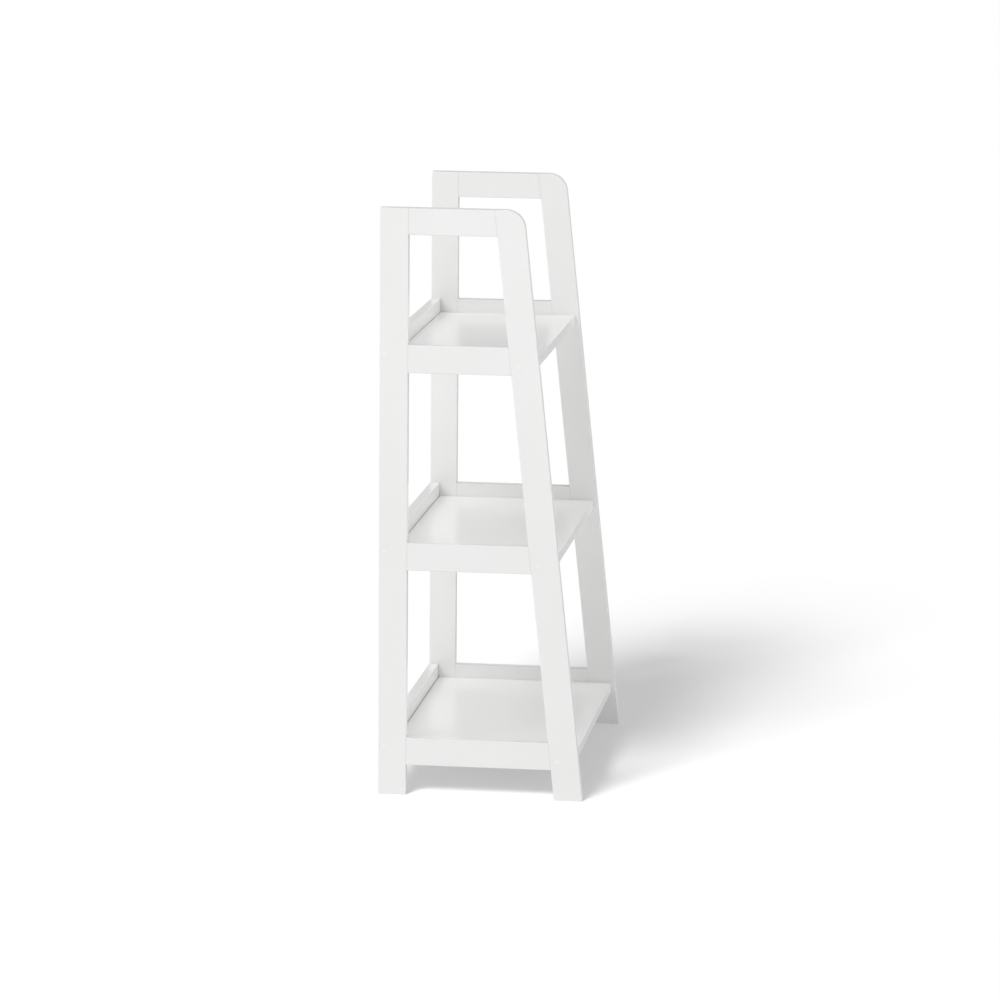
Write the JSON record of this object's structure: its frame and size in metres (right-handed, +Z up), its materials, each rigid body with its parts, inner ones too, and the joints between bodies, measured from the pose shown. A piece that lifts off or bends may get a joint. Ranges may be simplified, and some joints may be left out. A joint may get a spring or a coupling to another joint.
{
  "type": "ladder bookcase",
  "caption": "Open white bookcase with tapered ladder-like side frames, shelves that grow deeper towards the floor, and a low rail behind each shelf.",
  "frame": {"origin": "on the floor, at the middle of the width and of the depth at the floor (bottom centre of the bounding box)", "axes": "+Z up, the open front with the slanted stiles faces -Y, the upright back faces +Y, +X to the right seen from the front"},
  "size_m": [0.55, 0.314, 0.9],
  "materials": {
    "white_lacquer": "satin sprayed white lacquer on fibreboard",
    "beech": "bare fluted-dowel beech",
    "zinc_steel": "bright zinc plate",
    "painted_filler": "filled, sanded flush and painted over, satin white"
  },
  "bodies": {
    "root": {"left_back_stile": "white_lacquer", "left_front_stile": "white_lacquer", "left_top_rail": "white_lacquer", "left_upper_rail": "white_lacquer", "left_middle_rail": "white_lacquer", "left_lower_rail": "white_lacquer", "right_back_stile": "white_lacquer", "right_front_stile": "white_lacquer", "right_top_rail": "white_lacquer", "right_upper_rail": "white_lacquer", "right_middle_rail": "white_lacquer", "right_lower_rail": "white_lacquer", "upper_shelf": "white_lacquer", "middle_shelf": "white_lacquer", "lower_shelf": "white_lacquer", "upper_back_rail": "white_lacquer", "middle_back_rail": "white_lacquer", "lower_back_rail": "white_lacquer", "left_frame_dowels": "beech", "right_frame_dowels": "beech", "upper_shelf_dowels": "beech", "middle_shelf_dowels": "beech", "lower_shelf_dowels": "beech", "shelf_screws": "zinc_steel", "back_rail_screws": "zinc_steel", "left_screw_plugs": "painted_filler", "right_screw_plugs": "painted_filler"}
  },
  "joints": []
}
